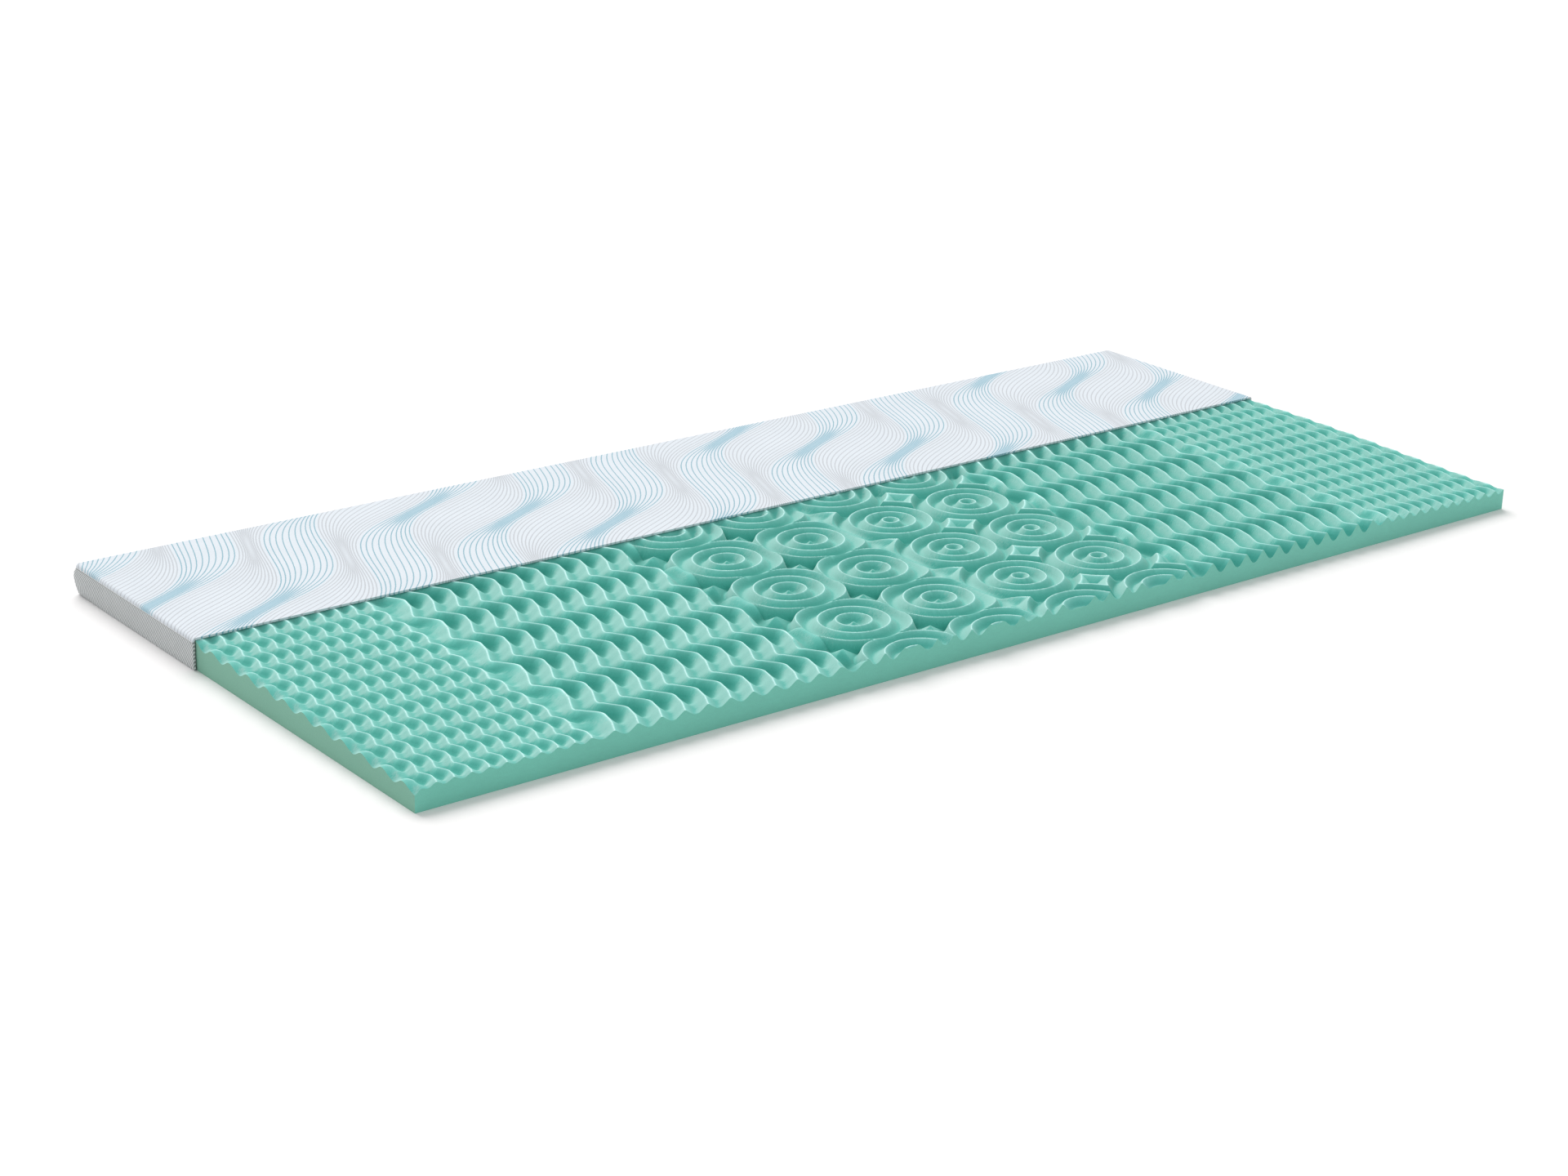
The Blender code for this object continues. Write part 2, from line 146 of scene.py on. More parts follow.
def crest_dip(zone, crest, across):
    """How far a crest dips before its left kink."""
    return DIP * zone["depth"] * neck(zone, crest, across, DIP_SHARE, DIP_REACH)


def foam_profile(rise, valley=0.42, crest=0.12):
    """Height between a valley at 0 and a crest at 1: straight flanks with rounded ends."""
    low = np.where(rise < valley, rise * rise / (2 * valley) + valley / 2, rise)
    both = np.where(rise > 1 - crest, 1 - crest / 2 - (1 - rise) ** 2 / (2 * crest), low)
    return (both - valley / 2) / (1 - crest / 2 - valley / 2)


def ring_depth(along, across):
    """Depth of the cut in the columns of rings."""
    column = np.clip(np.floor((along - RINGS_START) / RING_PITCH_ALONG), 0, RING_COLUMNS - 1)
    row = np.round((across - FIRST_RING_ACROSS) / RING_PITCH_ACROSS)
    inside = np.clip(along, RINGS_START, RINGS_END)
    share_x = (inside - FIRST_RING_ALONG - column * RING_PITCH_ALONG) / (RING_PITCH_ALONG / 2)
    share_y = (across - FIRST_RING_ACROSS - row * RING_PITCH_ACROSS) / (RING_PITCH_ACROSS / 2)
    radius = np.hypot(share_x, share_y)
    change = RINGS_START + 2 * RING_PITCH_ALONG
    later = smooth_step((inside - change + KIND_REACH) / (2 * KIND_REACH))

    # First kind of cell: rings that grow squarer, and a pit with a tooth at each corner.
    # Second kind: rings half a wave closer in, and a dimpled block at each corner.
    square = (np.abs(share_x) ** SQUARENESS + np.abs(share_y) ** SQUARENESS) ** (1 / SQUARENESS)
    reach = radius + (square - radius) * smooth_step((square - SQUARE_FROM) / SQUARE_OVER)
    wave = RING_WAVES * np.minimum(reach, 1)
    height = foam_profile(1 - 2 * np.abs(wave - np.round(wave)), RING_VALLEY)
    height -= EYE_SHARE * np.clip(1 - radius / EYE_REACH, 0, 1)
    pit = 1 - foam_profile(1 - np.clip((reach - 1) / PIT_REACH, 0, 1))
    tooth = np.clip(1 - (2 - np.abs(share_x) - np.abs(share_y)) / TOOTH_REACH, 0, 1)
    middle = 1 - np.minimum(np.abs(share_x), np.abs(share_y)) / DENT_SIDE
    dent = DENT * smooth_step(middle) * smooth_step((reach - DENT_FROM) / DENT_OVER)
    first_kind = RING_DEPTH * (1 - height) + PIT_DEPTH * (pit - TOOTH_HEIGHT * tooth) + dent

    block = BLOCK_FROM + BLOCK_SLOPE * (radius - BLOCK_FROM)
    reach = np.where(radius > BLOCK_FROM, block, radius)
    wave = RING_WAVES * reach - 0.5
    height = foam_profile(1 - 2 * np.abs(wave - np.round(wave)), RING_VALLEY)
    corner = np.clip((radius - BLOCK_DEEP_FROM) / BLOCK_DEEP_OVER, 0, 1)
    second_kind = (RING_DEPTH + (PIT_DEPTH - RING_DEPTH) * corner) * (1 - height)
    return first_kind + (second_kind - first_kind) * later


def relief(along, across):
    """Depth of the cut, how near each place is to a neck, and the crests' dip in the depth."""
    depth, necks, dips = np.zeros((3,) + along.shape)
    left, right = (
        [(zone, crest) for zone in zones for crest in range(zone["crests"])]
        for zones in (ZIGZAG_ZONES[:2], ZIGZAG_ZONES[2:])
    )
    left.insert(0, (FINE_LEFT, -1))
    right.append((FINE_RIGHT, FINE_RIGHT["crests"]))
    for crests in (left, right):
        for (zone, crest), (next_zone, next_crest) in zip(crests, crests[1:]):
            start = crest_along(zone, crest, across)
            end = crest_along(next_zone, next_crest, across)
            share = (along - start) / (end - start)
            inside = (share >= 0) & (share < 1)
            near = neck(zone, crest + share, across) * (1 - share)
            near += neck(next_zone, next_crest - 1 + share, across) * share
            cut = zone["depth"] if zone is next_zone else RUN_DEPTH
            trough = 1 - foam_profile(np.clip(np.abs(2 * share - 1), 0, 1))
            dip = crest_dip(zone, crest + share, across) * (1 - share)
            dip += crest_dip(next_zone, next_crest - 1 + share, across) * share
            trough = cut * trough * (1 - NECK_FILL * near) + dip
            depth, necks = np.where(inside, trough, depth), np.where(inside, near, necks)
            dips = np.where(inside, dip, dips)

    at_end = smooth_step(1 - np.minimum(along, SLAB_LENGTH - along) / END_REACH)
    depth *= 1 - (1 - END_DEPTH) * at_end
    share = (FINE_LEFT["kink"] - across) / BASE_REPEAT - END_WAVE_SHIFT
    wave = 0.5 + 0.5 * np.cos(2 * pi * share)
    depth += END_WAVE * wave * at_end * (along < SLAB_LENGTH / 2)

    rings = ring_depth(along, across)
    last_left = crest_along(WIDE_LEFT, WIDE_LEFT["crests"] - 1, across)
    first_right = crest_along(WIDE_RIGHT, 0, across)
    share = np.clip((along - last_left) / (RINGS_START - last_left), 0, 1)
    near_left = neck(WIDE_LEFT, WIDE_LEFT["crests"] - 1, across) * (1 - share)
    run_left = rings * share + LEFT_RUN_DEPTH * np.sin(pi * share) ** 2
    run_left += crest_dip(WIDE_LEFT, WIDE_LEFT["crests"] - 1, across) * (1 - share)
    share = np.clip((first_right - along) / (first_right - RINGS_END), 0, 1)
    near_right = neck(WIDE_RIGHT, 0, across) * (1 - share)
    run_right = rings * share + RIGHT_RUN_DEPTH * np.sin(pi * share) ** 2
    run_right += crest_dip(WIDE_RIGHT, 0, across) * (1 - share)
    in_left = (along >= last_left) & (along < RINGS_START)
    in_right = (along > RINGS_END) & (along < first_right)
    depth = np.where(in_left, run_left, np.where(in_right, run_right, depth))
    necks = np.where(in_left, near_left, np.where(in_right, near_right, necks))
    in_rings = (along >= RINGS_START) & (along <= RINGS_END)
    # In the rings the neck number and the dip only serve the colour: more painted light, and less
    # painted shade.
    depth, necks = np.where(in_rings, rings, depth), np.where(in_rings, RING_PAINTED_LIGHT, necks)
    dips = np.where(in_rings, RING_SHADE_EASE * rings, dips)
    level = np.clip((LEVEL_START - across) / (LEVEL_START - RELIEF_END), 0, 1)
    return depth * level, necks * level, dips * level


def even_steps(start, end, step):
    """Places from the start up to, but without, the end."""
    count = max(1, ceil((end - start) / step))
    return [start + (end - start) * i / count for i in range(count)]


# The grid's lines across the slab keep to the crests, so each crest is a clean edge.
FINE_LINES = (0, 0.06, 0.14, 0.26, 0.38, 0.5, 0.62, 0.74, 0.86, 0.94)
WIDE_LINES = (0, 0.04, 0.09, 0.17, 0.27, 0.38, 0.5, 0.62, 0.73, 0.83, 0.91, 0.96)
ROW_STEP, RING_STEP = ((0.0016, 0.0013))
END_STEP, RUN_STEP = 0.0020, 0.0018
LEVEL_ROWS, BACK_ROWS = (0.544, 0.550), (0.675, 0.75, 0.825, 0.870)
SLAB_TRIANGLES = 190000

slab_columns = even_steps(0, FINE_LEFT["first"], END_STEP)
for zone, shares, run_end in (
    (FINE_LEFT, FINE_LINES, WIDE_LEFT["first"]), (WIDE_LEFT, WIDE_LINES, RINGS_START),
    (WIDE_RIGHT, WIDE_LINES, FINE_RIGHT["first"]), (FINE_RIGHT, FINE_LINES, SLAB_LENGTH),
):
    if zone is WIDE_RIGHT:
        slab_columns += even_steps(RINGS_START, RINGS_END, RING_STEP)
        slab_columns += even_steps(RINGS_END, WIDE_RIGHT["first"], RUN_STEP)
    for crest in range(zone["crests"] - 1):
        slab_columns += [zone["first"] + (crest + share) * zone["pitch"] for share in shares]
    last = zone["first"] + (zone["crests"] - 1) * zone["pitch"]
    slab_columns += even_steps(last, run_end, RUN_STEP)
slab_columns.append(SLAB_LENGTH)
slab_rows = even_steps(0, RELIEF_END, ROW_STEP)
slab_rows += [RELIEF_END, *LEVEL_ROWS, LEVEL_START, *BACK_ROWS, SLAB_WIDTH]

bpy.ops.mesh.primitive_grid_add(
    x_subdivisions=len(slab_columns) - 1, y_subdivisions=len(slab_rows) - 1, size=1
)
foam_slab = bpy.context.object
foam_slab.name = foam_slab.data.name = "foam_slab"


def points_of(piece):
    """The x, the y and the z of a piece's points."""
    flat = np.empty(3 * len(piece.data.vertices))
    piece.data.vertices.foreach_get("co", flat)
    return flat.reshape(-1, 3).T


def grid_shares(piece):
    """The points of a fresh one-metre grid, as shares of its two sides."""
    x, y, _ = points_of(piece)
    return x + 0.5, y + 0.5


def place_points(piece, x, y, z):
    piece.data.vertices.foreach_set("co", np.stack([x, y, z], -1).ravel())
    piece.data.update()


share_x, share_y = grid_shares(foam_slab)
mean_along = np.interp(share_x, np.linspace(0, 1, len(slab_columns)), slab_columns)
across = np.interp(share_y, np.linspace(0, 1, len(slab_rows)), slab_rows)

# Each zone's lines swing with its crests, and ease back to straight lines beyond them.
along = mean_along.copy()
zone_ends = [
    zone["first"] + end * (zone["crests"] - 1) * zone["pitch"]
    for zone in ZIGZAG_ZONES for end in (0, 1)
]
anchors = [0.0, *zone_ends[:4], RINGS_START, RINGS_END, *zone_ends[4:], SLAB_LENGTH]
for zone, first_anchor in zip(ZIGZAG_ZONES, (1, 3, 7, 9)):
    weight = np.zeros(len(anchors))
    weight[first_anchor:first_anchor + 2] = 1
    crest = np.clip((mean_along - zone["first"]) / zone["pitch"], 0, zone["crests"] - 1)
    fade = np.where(across > LEVEL_START, 0, np.interp(mean_along, anchors, weight))
    along += fade * zigzag(zone, crest, np.minimum(across, LEVEL_START))
height = CREST_HEIGHT - relief(along, across)[0] - front_sink(along, across)
place_points(foam_slab, slab_low.x + along, slab_low.y + across, height)

# The walls and the flat underside: the grid's rim is pulled down to the floor and filled.
bpy.ops.object.mode_set(mode="EDIT")
bpy.ops.mesh.select_mode(type="EDGE")
bpy.ops.mesh.select_all(action="DESELECT")
bpy.ops.mesh.select_non_manifold()
bpy.ops.mesh.extrude_region_move(TRANSFORM_OT_translate={"value": (0, 0, -CREST_HEIGHT)})
bpy.ops.transform.resize(value=(1, 1, 0), center_override=(0, 0, 0))
bpy.ops.mesh.edge_face_add()
bpy.ops.mesh.select_all(action="SELECT")
bpy.ops.mesh.normals_make_consistent(inside=False)
bpy.ops.object.mode_set(mode="OBJECT")


def apply_modifier(piece, kind, **settings):
    change = piece.modifiers.new(kind.lower(), kind)
    for name, value in settings.items():
        setattr(change, name, value)
    bpy.context.view_layer.objects.active = piece
    bpy.ops.object.modifier_apply(modifier=change.name)


foam_slab.data.calc_loop_triangles()
slab_triangles = len(foam_slab.data.loop_triangles)
if slab_triangles > SLAB_TRIANGLES:
    apply_modifier(foam_slab, "DECIMATE", ratio=SLAB_TRIANGLES / slab_triangles)
bpy.ops.object.shade_smooth_by_angle(angle=radians(38))


def store_map(piece, name, first, second):
    """A UV map that holds two numbers for each point, for the colours of the piece."""
    corners = np.empty(len(piece.data.loops), int)
    piece.data.loops.foreach_get("vertex_index", corners)
    made = piece.data.uv_layers.active or piece.data.uv_layers.new()
    made.name = name
    made.data.foreach_set("uv", np.stack([first, second], -1)[corners].astype(np.float32).ravel())


# How deep each point lies below its crests, and how near to a neck: they set the painted shade
# and the painted light of the foam's colour.
x, y, z = points_of(foam_slab)
depth = CREST_HEIGHT - z - front_sink(x - slab_low.x, y - slab_low.y)
_, necks, dips = relief(x - slab_low.x, y - slab_low.y)
store_map(foam_slab, "cut_depth", depth - dips, necks)


class Finish:
    """A piece's material, built up node by node."""

    SHEEN_ROUGHNESS = 0.6

    def __init__(self, name, roughness, sheen=0.0):
        self.material = bpy.data.materials.new(name)
        self.material.use_nodes = True
        self.tree = self.material.node_tree
        self.surface = self.tree.nodes["Principled BSDF"]
        self.surface.inputs["Roughness"].default_value = roughness
        self.surface.inputs["Sheen Weight"].default_value = sheen
        self.surface.inputs["Sheen Roughness"].default_value = self.SHEEN_ROUGHNESS

    def add(self, kind, inputs=(), **settings):
        made = self.tree.nodes.new(kind)
        for name, value in settings.items():
            setattr(made, name, value)
        for name, value in dict(inputs).items():
            if isinstance(value, bpy.types.NodeSocket):
                self.tree.links.new(value, made.inputs[name])
            else:
                made.inputs[name].default_value = value
        return made

    def math(self, operation, *values):
        return self.add("ShaderNodeMath", enumerate(values), operation=operation).outputs[0]

    def ramp(self, value, stops):
        made = self.add("ShaderNodeValToRGB", {"Fac": value})
        elements = made.color_ramp.elements
        while len(elements) < len(stops):
            elements.new(0.5)
        for element, (position, colour) in zip(elements, stops):
            element.position = position
            element.color = (*colour, 1.0)
        return made.outputs["Color"]

    def step(self, value, start, end):
        """From 0 at the start to 1 at the end, which may be the smaller of the two."""
        made = self.add("ShaderNodeMapRange", {
            "Value": value, "From Min": start, "From Max": end
        }, interpolation_type="SMOOTHSTEP")
        return made.outputs["Result"]

    def mix(self, share, first, second, blend="MIX"):
        made = self.add("ShaderNodeMix", {}, data_type="RGBA", blend_type=blend)
        for name, value in ((0, share), (6, first), (7, second)):
            if isinstance(value, bpy.types.NodeSocket):
                self.tree.links.new(value, made.inputs[name])
            else:
                made.inputs[name].default_value = value if name == 0 else (*value, 1.0)
        return made.outputs[2]

    def toned(self, colour, tone):
        bright = self.add("ShaderNodeCombineColor", {0: tone, 1: tone, 2: tone}).outputs[0]
        return self.mix(1.0, colour, bright, "MULTIPLY")

    def object_place(self):
        return self.add("ShaderNodeTexCoord").outputs["Object"]

    def stored(self, name):
        """The two numbers that store_map keeps under this name."""
        numbers = self.add("ShaderNodeUVMap", uv_map=name).outputs["UV"]
        parts = self.add("ShaderNodeSeparateXYZ", {0: numbers}).outputs
        return parts["X"], parts["Y"]

    def stretched(self, turn, scale):
        """Object coordinates turned about Z and scaled, for grain that runs one way."""
        return self.add("ShaderNodeMapping", {
            "Vector": self.object_place(), "Rotation": (0, 0, turn), "Scale": scale
        }).outputs["Vector"]

    def noise(self, vector, scale, detail=2.0, roughness=0.5):
        return self.add("ShaderNodeTexNoise", {
            "Vector": vector, "Scale": scale, "Detail": detail, "Roughness": roughness
        }).outputs["Fac"]

    def bump(self, height, distance, strength=1.0, below=None):
        inputs = {"Height": height, "Distance": distance, "Strength": strength}
        if below is not None:
            inputs["Normal"] = below
        return self.add("ShaderNodeBump", inputs).outputs["Normal"]

    def paint(self, colour, normal, piece):
        self.tree.links.new(colour, self.surface.inputs["Base Color"])
        self.tree.links.new(normal, self.surface.inputs["Normal"])
        piece.data.materials.clear()
        piece.data.materials.append(self.material)


PAINTED_SHADE_DEPTH = 0.018  # below the crests, where the painted shade is darkest
PAINTED_LIGHT_FROM = (-0.40, 0.75, 0.53)  # towards the key light; flanks that look this way get the most painted light
PAINTED_LIGHT_FACING, PAINTED_LIGHT_DEPTHS = (0.55, 1.02), (0.0165, 0.0060)  # from no painted light to all of it
PAINTED_LIGHT_BY_NECK, PAINTED_LIGHT_UNEVEN, PAINTED_LIGHT_RAGGED, PAINTED_LIGHT_SHARE = 0.36, 0.9, 0.012, 0.85
PAINTED_LIGHT_COLOUR = (0.235, 0.500, 0.445)
FRONT_WALL, END_WALL = (0.150, 0.530, 0.425), (0.150, 0.400, 0.290)
WALL_FACING, END_FACING = (0.30, 0.12), (0.3, 0.8)  # size of the normal's Z, and of its X
GRAIN_TURN, GRAIN_SCALE = radians(-38), (90, 700, 300)

foam = Finish("mint_foam", roughness=0.85, sheen=0.25)
place = foam.object_place()
depth, by_neck = foam.stored("cut_depth")
facing = foam.add("ShaderNodeNewGeometry").outputs["Normal"]
sides = foam.add("ShaderNodeSeparateXYZ", {0: facing})
# Painted shade and painted highlight: the deeper the cut lies below the crests, the darker it is
# painted, and the crests are painted pale.
cut_colour = foam.ramp(foam.math("SUBTRACT", 1.0, foam.math("DIVIDE", depth, PAINTED_SHADE_DEPTH)), (
    (0.00, (0.010, 0.260, 0.205)),
    (0.38, (0.034, 0.360, 0.295)),
    (0.70, (0.075, 0.440, 0.370)),
    (0.92, (0.130, 0.510, 0.440)),
    (0.975, (0.230, 0.620, 0.560)),
    (1.00, (0.600, 0.930, 0.900)),
))

# Painted light: high on the flanks that look back and left, towards the key light, and at the
# necks, the colour is painted paler in streaks, fading out deeper down.
towards_light = foam.add("ShaderNodeVectorMath", {0: facing, 1: PAINTED_LIGHT_FROM},
                   operation="DOT_PRODUCT").outputs["Value"]
cells = foam.noise(place, 700, 3, 0.6)
patches = foam.noise(place, 9, 2, 0.5)
streaks = foam.noise(foam.stretched(GRAIN_TURN, GRAIN_SCALE), 1, 3, 0.6)
uneven = foam.math("MULTIPLY", foam.math("SUBTRACT", streaks, 0.5), PAINTED_LIGHT_UNEVEN)
towards_light = foam.math("ADD", towards_light, foam.math("MULTIPLY", by_neck, PAINTED_LIGHT_BY_NECK))
painted_light = foam.step(foam.math("ADD", towards_light, uneven), *PAINTED_LIGHT_FACING)
ragged_depth = foam.math("ADD", depth, foam.math("MULTIPLY", uneven, PAINTED_LIGHT_RAGGED))
painted_light = foam.math("MULTIPLY", painted_light, foam.step(ragged_depth, *PAINTED_LIGHT_DEPTHS))
cut_colour = foam.mix(foam.math("MULTIPLY", painted_light, PAINTED_LIGHT_SHARE), cut_colour, PAINTED_LIGHT_COLOUR)

wall = foam.step(foam.math("ABSOLUTE", sides.outputs["Z"]), *WALL_FACING)
end = foam.step(foam.math("ABSOLUTE", sides.outputs["X"]), *END_FACING)
colour = foam.mix(wall, cut_colour, foam.mix(end, FRONT_WALL, END_WALL))
tone = foam.math("MULTIPLY", cells, 0.16)
tone = foam.math("ADD", tone, foam.math("MULTIPLY", patches, 0.12))
tone = foam.math("ADD", tone, foam.math("MULTIPLY", streaks, 0.14))
colour = foam.toned(colour, foam.math("ADD", tone, 0.86))
normal = foam.bump(cells, 0.0004, 0.5)
normal = foam.bump(streaks, 0.0003, 0.5, normal)
foam.paint(colour, normal, foam_slab)

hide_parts("foam_core")
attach(foam_slab, "root")


# ---- top panel --------------------------------------------------------------------------
# A soft white double knit about 3 mm thick, with woven-in wave lines in blue and grey. It
# lies on the crests, and on three sides its rim turns down to the seam with the side band.

panel_low, panel_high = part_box("cover_top")
CLOTH = 0.0030
RIM_RADIUS = 0.0050
COVER_CORNER_RADIUS = 0.0070
RIM_DROP = panel_high.z - RIM_RADIUS - panel_low.z
RIM_WIDTH = COVER_CORNER_RADIUS - RIM_RADIUS
RIM_CLOTH = RIM_WIDTH + RIM_RADIUS * pi / 2 + RIM_DROP

inner_x = panel_high.x - COVER_CORNER_RADIUS
inner_y = panel_high.y - COVER_CORNER_RADIUS
PANEL_STEP = 0.0042
RIM_SHARES = (0.1, 0.2, 0.32, 0.46, 0.6, 0.74, 0.88, 1.0)
rim_steps = [RIM_CLOTH * share for share in RIM_SHARES]
flat_x = even_steps(-inner_x, inner_x, PANEL_STEP) + [inner_x]
panel_columns = [-inner_x - step for step in reversed(rim_steps)] + flat_x
panel_columns += [inner_x + step for step in rim_steps]
panel_rows = even_steps(panel_low.y, inner_y, PANEL_STEP) + [inner_y]
panel_rows += [inner_y + step for step in rim_steps]

bpy.ops.mesh.primitive_grid_add(
    x_subdivisions=len(panel_columns) - 1, y_subdivisions=len(panel_rows) - 1, size=1
)
top_panel = bpy.context.object
top_panel.name = top_panel.data.name = "knit_top_panel"
share_x, share_y = grid_shares(top_panel)
cloth_x = np.interp(share_x, np.linspace(0, 1, len(panel_columns)), panel_columns)
cloth_y = np.interp(share_y, np.linspace(0, 1, len(panel_rows)), panel_rows)

# Past the flat part the cloth turns down, at a back corner on a quarter of a circle.
past_x = np.maximum(np.abs(cloth_x) - inner_x, 0)
past_y = np.maximum(cloth_y - inner_y, 0)
past = np.maximum(past_x, past_y)
corner_share = np.where(
    past_x >= past_y, past_y / np.maximum(past_x, 1e-9), 2 - past_x / np.maximum(past_y, 1e-9)
)
turn = np.where(past > 0, pi / 4 * corner_share, 0)
bend = np.clip((past - RIM_WIDTH) / RIM_RADIUS, 0, pi / 2)
reach = np.minimum(past, RIM_WIDTH) + RIM_RADIUS * np.sin(bend)
fall = RIM_RADIUS * (1 - np.cos(bend)) + np.maximum(past - RIM_WIDTH - RIM_RADIUS * pi / 2, 0)
x = np.clip(cloth_x, -inner_x, inner_x) + np.sign(cloth_x) * reach * np.cos(turn)
y = np.minimum(cloth_y, inner_y) + reach * np.sin(turn)
z = panel_high.z - fall
place_points(top_panel, x, y, z)

# The wave lines are level lines of one number. Groups of blue lines and of grey lines take
# turns; where a blue group draws together, the grey groups beside it open out.
GROUP_STEP = (0.097, -0.108)  # from one blue group to the next
ALONG_STEP = (0.300, 0.350)  # from one narrow place of a group to its next
FIRST_NARROW = (-0.476, 0.385)
BEND, SQUEEZE = 0.20, 0.78
SOLVING_STEPS, SOLVING_PACE = 40, 0.7


def line_number(x, y):
    """Number of the wave line at a place; a whole number is the middle of a blue group."""
    away = np.array([x - FIRST_NARROW[0], y - FIRST_NARROW[1]])
    net = np.linalg.inv(np.array([GROUP_STEP, ALONG_STEP]).T)
    group, way = np.tensordot(net, away, 1)
    group = group - BEND * np.sin(2 * pi * way)
    number = group.copy()
    squeeze = SQUEEZE * np.cos(2 * pi * way)
    for _ in range(SOLVING_STEPS):
        wrong = number - squeeze / (2 * pi) * np.sin(2 * pi * number) - group
        number -= SOLVING_PACE * wrong / (1 - squeeze * np.cos(2 * pi * number))
    return number


# The second number is the spread: how far it is from one group to the next at this place.
PROBE = 0.0002
change_x = (line_number(x + PROBE, y) - line_number(x - PROBE, y)) / (2 * PROBE)
change_y = (line_number(x, y + PROBE) - line_number(x, y - PROBE)) / (2 * PROBE)
spread = 1 / np.maximum(np.hypot(change_x, change_y), 1e-6)
store_map(top_panel, "wave_lines", line_number(x, y), spread)

apply_modifier(top_panel, "SOLIDIFY", thickness=CLOTH, offset=-1, use_even_offset=True)
bpy.ops.object.shade_smooth_by_angle(angle=radians(40))

BLUE_LINES, GREY_LINES = 22, 26  # lines that a group step would hold at each spacing
BLUE_WIDTH, GREY_WIDTH, LINE_WOBBLE = 0.0016, 0.0018, 0.0012
BLUE_FADE, GREY_FADE, NARROW_FADE = (0.0, 0.085), (0.010, 0.070), (0.120, 0.050)  # by spread
BLUE_COLOUR, GREY_COLOUR = (0.130, 0.350, 0.440), (0.400, 0.420, 0.450)
NARROW_COLOUR = (0.320, 0.520, 0.630)
KNIT_COLOURS = (0.612, 0.664, 0.716), (0.666, 0.718, 0.770)

panel = Finish("wave_knit", roughness=0.8, sheen=0.25)
place = panel.object_place()
wobble = panel.noise(place, 260, 1, 0.5)
number, spread = panel.stored("wave_lines")
wobble = panel.math("MULTIPLY", panel.math("SUBTRACT", wobble, 0.5), LINE_WOBBLE)
number = panel.math("ADD", number, panel.math("DIVIDE", wobble, spread))
group_wave = panel.math("COSINE", panel.math("MULTIPLY", number, 2 * pi))
blue_group = panel.step(group_wave, 0.02, 0.06)


def line_strength(count, width):
    """How much of a line is at this place: its width is the same at any spacing."""
    share = panel.math("FRACT", panel.math("MULTIPLY", number, count))
    off = panel.math("ABSOLUTE", panel.math("SUBTRACT", share, 0.5))
    off = panel.math("MULTIPLY", off, panel.math("DIVIDE", spread, count))
    return panel.step(off, width * 0.75, width * 0.25)


blue_line = panel.math("MULTIPLY", line_strength(BLUE_LINES, BLUE_WIDTH), blue_group)
blue_line = panel.math("MULTIPLY", blue_line, panel.step(spread, *BLUE_FADE))
grey_line = line_strength(GREY_LINES, GREY_WIDTH)
grey_line = panel.math("MULTIPLY", grey_line, panel.math("SUBTRACT", 1.0, blue_group))
grey_line = panel.math("MULTIPLY", grey_line, panel.step(spread, *GREY_FADE))
narrow_blue = panel.math("MULTIPLY", panel.step(spread, *NARROW_FADE), blue_group)
knit = panel.add("ShaderNodeTexVoronoi", {"Vector": place, "Scale": 900}).outputs["Distance"]
cloud = panel.noise(place, 14, 2, 0.5)
colour = panel.mix(cloud, *KNIT_COLOURS)
for lines, weight, line_colour in (
    (narrow_blue, 0.72, NARROW_COLOUR), (grey_line, 0.72, GREY_COLOUR),
    (blue_line, 0.90, BLUE_COLOUR),
):
    colour = panel.mix(panel.math("MULTIPLY", lines, weight), colour, line_colour)
colour = panel.toned(colour, panel.math("ADD", panel.math("MULTIPLY", knit, 0.10), 0.95))
normal = panel.bump(knit, 0.0003, 0.4)
groove = panel.math("ADD", grey_line, blue_line)
normal = panel.bump(panel.math("SUBTRACT", 1.0, groove), 0.0004, 0.5, normal)
panel.paint(colour, normal, top_panel)

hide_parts("cover_top")
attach(top_panel, "root")


# ---- side band --------------------------------------------------------------------------
# A pale grey ribbed knit, about 3 mm thick with ribs that lean. It runs from the cut round
# the left end, the back and the right end, and is soft and a little full at the corners.

band_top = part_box("cover_band")[1].z
CUT = panel_low.y
SIDE_RUN = inner_y - CUT
CORNER_RUN = COVER_CORNER_RADIUS * pi / 2
BACK_RUN = 2 * inner_x
BAND_LENGTH = 2 * SIDE_RUN + 2 * CORNER_RUN + BACK_RUN
RIB_PITCH, RIB_HEIGHT, RIB_LEAN = 0.0042, 0.00055, 0.76
RIB_POINTS, BAND_ROWS = 4, 12
SPARE = 0.04  # past the cut at both ends, and bisected off again
HEM, HEM_TUCK = 0.003, 0.0008

# How far the band stands out at a back corner: height, how much.
CORNER_SWELL = ((0.0, -0.0020), (0.0070, 0.0005), (0.0160, 0.0030), (0.0270, 0.0045),
                (0.0345, 0.0036), (0.0405, 0.0))
CORNER_REACH = 0.090


def round_the_cover(run, outward):
    """Place of a point of the band: its run from the cut round the cover, and how far out."""
    at = np.array([-SPARE, SIDE_RUN, SIDE_RUN + CORNER_RUN, SIDE_RUN + CORNER_RUN + BACK_RUN,
                   SIDE_RUN + 2 * CORNER_RUN + BACK_RUN, BAND_LENGTH + SPARE])
    centre_x = np.interp(run, at, [-inner_x, -inner_x, -inner_x, inner_x, inner_x, inner_x])
    start_y = CUT - SPARE
    centre_y = np.interp(run, at, [start_y, inner_y, inner_y, inner_y, inner_y, start_y])
    turn = np.interp(run, at, [pi, pi, pi / 2, pi / 2, 0, 0])
    out = COVER_CORNER_RADIUS + outward
    return centre_x + out * np.cos(turn), centre_y + out * np.sin(turn), turn


